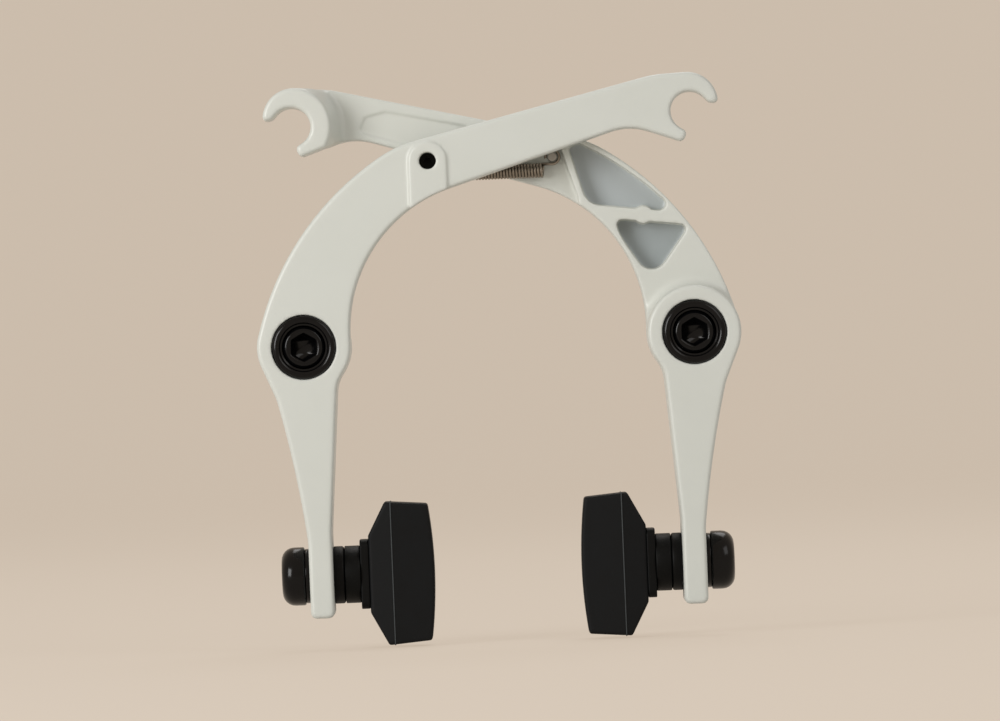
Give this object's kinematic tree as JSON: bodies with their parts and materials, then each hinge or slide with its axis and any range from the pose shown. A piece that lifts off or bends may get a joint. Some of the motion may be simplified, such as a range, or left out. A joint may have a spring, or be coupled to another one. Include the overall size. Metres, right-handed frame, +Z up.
{
  "type": "u-brake",
  "caption": "Centre-pull bicycle rim brake: two crossed arms pivot on frame studs, with cable hooks above, a return spring between them and rubber pads below.",
  "frame": {"origin": "midway between the two frame studs, on the plane where the sleeves and washers seat on the frame", "axes": "+X across the wheel to the right arm, +Y into the frame along the studs, +Z up, towards the cable hooks"},
  "size_m": [0.0992, 0.0227, 0.1149],
  "materials": {
    "white_paint": "satin white powder coat on cast aluminium",
    "black_steel": "glossy black plated steel",
    "bright_steel": "turned steel",
    "spring_steel": "bright drawn wire",
    "nylon": "black nylon",
    "pad_rubber": "moulded rubber"
  },
  "bodies": {
    "stud_hardware": {"left_pivot_bolt": "black_steel", "left_pivot_cap": "black_steel", "left_pivot_sleeve": "bright_steel", "left_rear_washer": "nylon", "right_pivot_bolt": "black_steel", "right_pivot_cap": "black_steel", "right_pivot_sleeve": "bright_steel", "right_rear_washer": "nylon"},
    "left_caliper": {"left_arm": "white_paint", "anchor_screw": "bright_steel", "left_pad_bolt": "black_steel", "left_pad_washer": "black_steel", "left_ball_washer": "black_steel", "left_cup_washer": "black_steel", "left_pad_backing": "black_steel", "left_pad": "pad_rubber"},
    "right_caliper": {"right_arm": "white_paint", "spring_pin": "bright_steel", "return_spring": "spring_steel", "right_pad_bolt": "black_steel", "right_pad_washer": "black_steel", "right_ball_washer": "black_steel", "right_cup_washer": "black_steel", "right_pad_backing": "black_steel", "right_pad": "pad_rubber"}
  },
  "joints": [
    {"name": "left_pivot", "type": "hinge", "parent": "stud_hardware", "child": "left_caliper", "pos_m": [-0.04, -0.01, 0], "axis": [0, -1, 0], "range_deg": [0, 12], "stiffness_Nm_per_rad": 0.8, "springref_deg": -17.19, "deforming": ["return_spring"]},
    {"name": "right_pivot", "type": "hinge", "parent": "stud_hardware", "child": "right_caliper", "pos_m": [0.04, -0.01, 0], "axis": [0, 1, 0], "range_deg": [0, 12], "stiffness_Nm_per_rad": 0.8, "springref_deg": -17.19, "deforming": ["return_spring"]}
  ]
}
